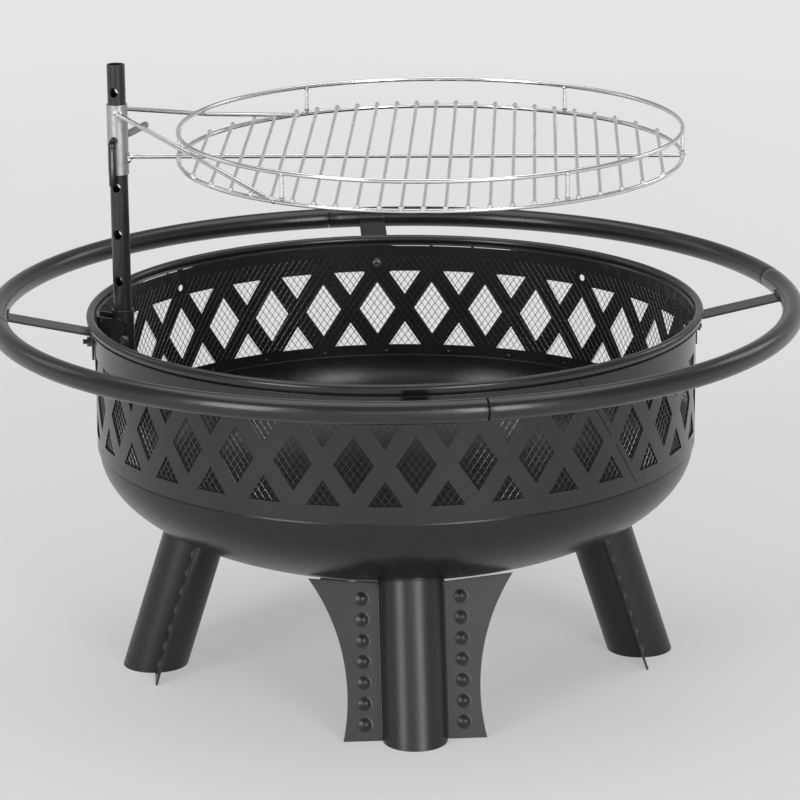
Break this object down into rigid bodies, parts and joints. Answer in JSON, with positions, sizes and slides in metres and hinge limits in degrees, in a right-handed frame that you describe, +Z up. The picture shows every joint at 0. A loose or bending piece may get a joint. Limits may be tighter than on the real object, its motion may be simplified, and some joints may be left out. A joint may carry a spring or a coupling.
{
  "type": "fire pit",
  "caption": "Round steel fire pit: bowl in a lattice band with a mesh liner, handrail ring, leaning legs with wing plates, and a swing-out cooking grate on a post.",
  "frame": {"origin": "centre of the pit on the floor", "axes": "+Z up, the front leg towards -Y, the grate's post at -X"},
  "size_m": [0.9144, 0.9144, 0.691],
  "materials": {
    "heat_paint_black": "satin black heat-resistant paint",
    "mesh_black": "matte black steel mesh",
    "black_bolt": "black oxide steel",
    "zinc_plate": "dull zinc plate with weld marks",
    "chrome_wire": "bright plated wire",
    "gloss_black": "glossy black dip coating"
  },
  "bodies": {
    "stand": {"cross_weave_band": "heat_paint_black", "fire_bowl": "heat_paint_black", "leg_tube_back": "heat_paint_black", "leg_tube_front": "heat_paint_black", "leg_tube_left": "heat_paint_black", "leg_tube_right": "heat_paint_black", "leg_wing_back_left": "heat_paint_black", "leg_wing_back_right": "heat_paint_black", "leg_wing_front_left": "heat_paint_black", "leg_wing_front_right": "heat_paint_black", "leg_wing_left_left": "heat_paint_black", "leg_wing_left_right": "heat_paint_black", "leg_wing_right_left": "heat_paint_black", "leg_wing_right_right": "heat_paint_black", "mesh_liner": "mesh_black", "post_socket": "heat_paint_black", "rim_ring": "heat_paint_black", "ring_bolt_back": "black_bolt", "ring_bolt_front": "black_bolt", "ring_bolt_left": "black_bolt", "ring_bolt_right": "black_bolt", "ring_bracket_back": "heat_paint_black", "ring_bracket_front": "heat_paint_black", "ring_bracket_left": "heat_paint_black", "ring_bracket_right": "heat_paint_black", "ring_nut_back": "black_bolt", "ring_nut_front": "black_bolt", "ring_nut_left": "black_bolt", "ring_nut_right": "black_bolt", "ring_tube_back_left": "heat_paint_black", "ring_tube_back_right": "heat_paint_black", "ring_tube_front_left": "heat_paint_black", "ring_tube_front_right": "heat_paint_black", "socket_set_screw": "black_bolt"},
    "post": {"post": "heat_paint_black"},
    "grate": {"grate_sleeve": "zinc_plate", "cooking_grate": "chrome_wire", "grate_rail": "chrome_wire"},
    "lock_pin": {"lock_pin": "gloss_black"}
  },
  "joints": [
    {"name": "post_swivel", "type": "hinge", "parent": "stand", "child": "post", "pos_m": [-0.302, 0, 0.36], "axis": [0, 0, 1], "continuous": true},
    {"name": "grate_height", "type": "slide", "parent": "post", "child": "grate", "axis": [0, 0, 1], "range_m": [-0.106, 0.212]},
    {"name": "pin_pull", "type": "slide", "parent": "grate", "child": "lock_pin", "axis": [-0.3875, -0.9219, 0], "range_m": [0, 0.11]}
  ]
}
